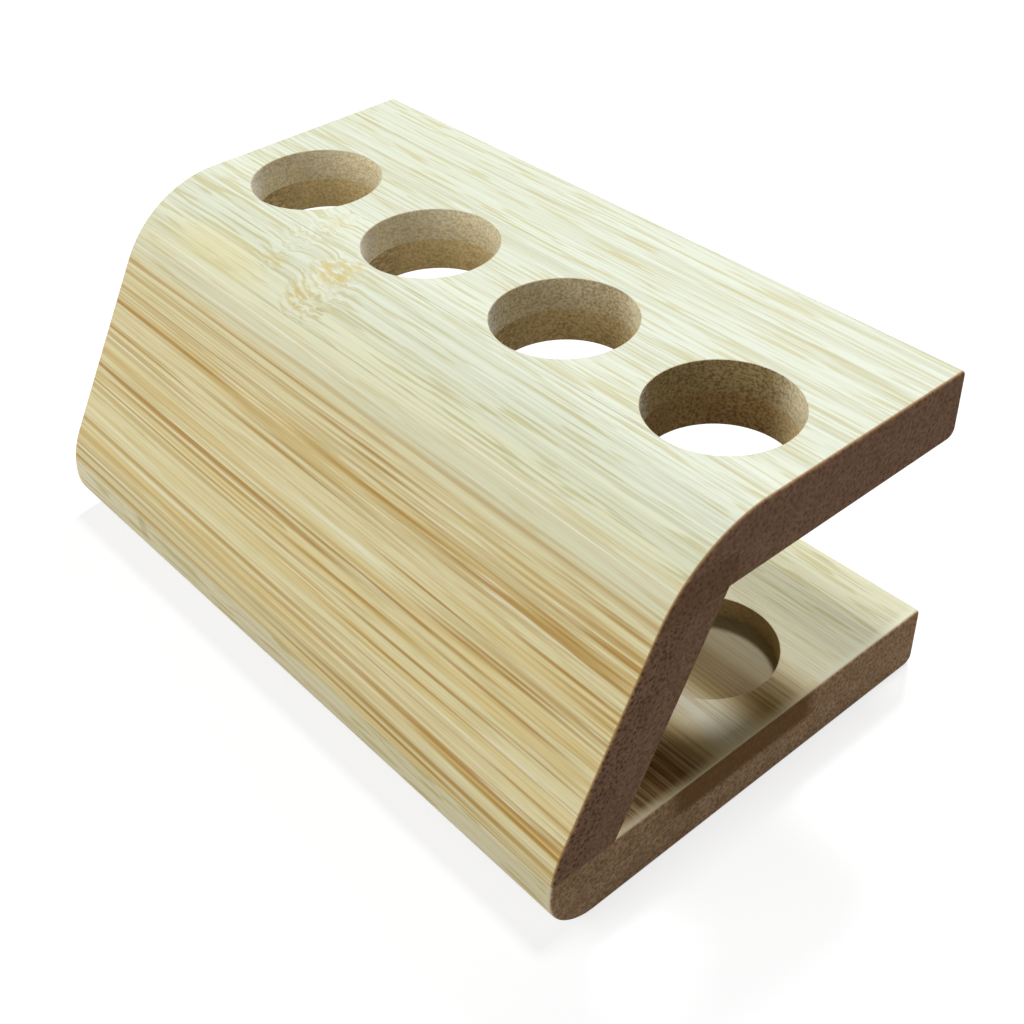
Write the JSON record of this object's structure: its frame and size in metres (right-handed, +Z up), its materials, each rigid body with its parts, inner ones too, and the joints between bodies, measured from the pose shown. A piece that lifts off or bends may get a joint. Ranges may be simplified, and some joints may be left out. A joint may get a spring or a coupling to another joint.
{
  "type": "toothbrush head holder",
  "caption": "Laminated bamboo stand with a leaning front: spare toothbrush heads drop through round holes in the top board and rest in shallow seats in the base.",
  "frame": {"origin": "middle of the footprint, on the surface the stand rests on", "axes": "+X along the row of holes, +Y towards the open rear, +Z up"},
  "size_m": [0.115, 0.07, 0.05],
  "materials": {
    "pale_bamboo": "satin, sanded smooth, pale face grain with brown end grain",
    "warm_bamboo": "satin, sanded smooth, cream face grain with brown end grain",
    "streaked_bamboo": "satin, sanded smooth, golden face grain with brown streaks",
    "straw_bamboo": "satin, sanded smooth, straw face grain with brown streaks",
    "toasted_bamboo": "satin, sanded smooth, darker strip with dark end grain"
  },
  "bodies": {
    "root": {"top_face_strip_rear": "pale_bamboo", "top_face_strip_front": "pale_bamboo", "top_under_strip_rear": "warm_bamboo", "top_under_strip_middle": "warm_bamboo", "top_under_strip_front": "warm_bamboo", "front_face_strip_upper": "streaked_bamboo", "front_face_strip_lower": "streaked_bamboo", "front_back_strip_upper": "straw_bamboo", "front_back_strip_lower": "straw_bamboo", "base_floor_strip_rear": "warm_bamboo", "base_floor_strip_middle": "toasted_bamboo", "base_floor_strip_front": "straw_bamboo", "base_sole_strip_rear": "warm_bamboo", "base_sole_strip_middle": "straw_bamboo", "base_sole_strip_front": "warm_bamboo"}
  },
  "joints": []
}
